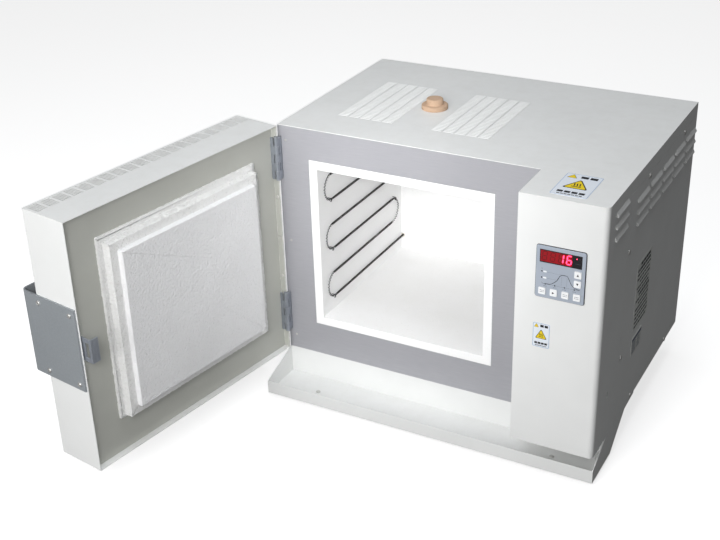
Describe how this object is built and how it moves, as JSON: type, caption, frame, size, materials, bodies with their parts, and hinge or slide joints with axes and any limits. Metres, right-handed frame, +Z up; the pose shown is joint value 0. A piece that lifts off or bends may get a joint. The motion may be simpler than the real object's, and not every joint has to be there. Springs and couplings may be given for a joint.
{
  "type": "pottery kiln",
  "caption": "Front-loading bench kiln: white sheet cabinet, side-hung insulated door with stepped plug, fibre chamber with wall coils, controller housing and vent plug.",
  "frame": {"origin": "middle of the bench space that the kiln takes with its door standing open, at the level of the rubber feet's soles", "axes": "+X to the right along the front, +Y to the back, +Z up"},
  "size_m": [0.792, 0.8548, 0.508],
  "materials": {
    "painted_sheet": "semi-gloss off-white enamel",
    "liner_paint": "matt cream paint",
    "stainless_panel": "satin stainless",
    "galvanised_sheet": "galvanised sheet",
    "fibre_board": "matt ceramic fibre board",
    "fibre_blanket": "soft ceramic fibre",
    "heating_wire": "oxidised resistance wire",
    "white_ceramic": "unglazed porcelain",
    "fired_clay": "unglazed fired clay",
    "zinc_steel": "zinc plated",
    "screw_steel": "nickel plated",
    "handle_steel": "brushed steel",
    "foot_rubber": "matt rubber",
    "bezel_plastic": "satin pale blue-grey",
    "black_plastic": "moulded plastic",
    "display_filter": "dark red filter",
    "key_plastic": "satin key cap",
    "sink_aluminium": "extruded",
    "label_film": "printed film",
    "plate_film": "printed film"
  },
  "bodies": {
    "cabinet": {"base_tray": "painted_sheet", "rear_support": "painted_sheet", "feet": "foot_rubber", "foot_screws": "screw_steel", "chassis_floor": "galvanised_sheet", "corner_posts": "galvanised_sheet", "partition": "galvanised_sheet", "front_panel": "stainless_panel", "panel_rivets": "screw_steel", "top_cover": "painted_sheet", "right_cover": "painted_sheet", "left_cover": "painted_sheet", "back_panel": "painted_sheet", "cover_screws": "screw_steel", "control_cover": "painted_sheet", "controller_case": "black_plastic", "controller_bezel": "bezel_plastic", "display_window": "display_filter", "case_rails": "galvanised_sheet", "inner_case": "galvanised_sheet", "front_blanket": "fibre_blanket", "rim_board": "fibre_board", "lining_floor": "fibre_board", "lining_roof": "fibre_board", "lining_left": "fibre_board", "lining_right": "fibre_board", "lining_back": "fibre_board", "element_left": "heating_wire", "element_right": "heating_wire", "element_hooks": "heating_wire", "element_bushings": "white_ceramic", "thermocouple": "white_ceramic", "chimney_tube": "fired_clay", "power_relay": "black_plastic", "heat_sink": "sink_aluminium", "terminal_block": "black_plastic", "cable_gland": "black_plastic", "warning_labels": "label_film", "side_plates": "plate_film", "hinge_frame_leaves": "zinc_steel", "hinge_pins": "zinc_steel", "latch_keeper": "zinc_steel"},
    "door": {"door_shell": "painted_sheet", "door_liner": "liner_paint", "liner_screws": "screw_steel", "door_insulation": "fibre_blanket", "plug_blanket": "fibre_blanket", "plug_seal_board": "fibre_board", "plug_face_board": "fibre_board", "handle_pull": "handle_steel", "handle_screws": "screw_steel", "hinge_door_leaves": "zinc_steel"},
    "latch": {"door_latch": "zinc_steel"},
    "chimney_plug": {"chimney_plug": "fired_clay"},
    "key_up": {"key_up": "key_plastic"},
    "key_down": {"key_down": "key_plastic"},
    "key_menu": {"key_menu": "key_plastic"},
    "key_shift": {"key_shift": "key_plastic"},
    "key_set": {"key_set": "key_plastic"},
    "key_run": {"key_run": "key_plastic"}
  },
  "joints": [
    {"name": "door_hinge", "type": "hinge", "parent": "cabinet", "child": "door", "pos_m": [-0.20494, 0.02217, 0.285], "axis": [0, 0, 1], "range_deg": [-30, 99.3]},
    {"name": "latch_lift", "type": "slide", "parent": "door", "child": "latch", "axis": [0, 0, 1], "range_m": [0, 0.024]},
    {"name": "chimney_plug_lift", "type": "slide", "parent": "cabinet", "child": "chimney_plug", "axis": [0, 0, 1], "range_m": [0, 0.06]},
    {"name": "key_up_press", "type": "slide", "parent": "cabinet", "child": "key_up", "axis": [0, 1, 0], "range_m": [0, 0.0007], "stiffness_N_per_m": 300},
    {"name": "key_down_press", "type": "slide", "parent": "cabinet", "child": "key_down", "axis": [0, 1, 0], "range_m": [0, 0.0007], "stiffness_N_per_m": 300},
    {"name": "key_menu_press", "type": "slide", "parent": "cabinet", "child": "key_menu", "axis": [0, 1, 0], "range_m": [0, 0.0007], "stiffness_N_per_m": 300},
    {"name": "key_shift_press", "type": "slide", "parent": "cabinet", "child": "key_shift", "axis": [0, 1, 0], "range_m": [0, 0.0007], "stiffness_N_per_m": 300},
    {"name": "key_set_press", "type": "slide", "parent": "cabinet", "child": "key_set", "axis": [0, 1, 0], "range_m": [0, 0.0007], "stiffness_N_per_m": 300},
    {"name": "key_run_press", "type": "slide", "parent": "cabinet", "child": "key_run", "axis": [0, 1, 0], "range_m": [0, 0.0007], "stiffness_N_per_m": 300}
  ]
}
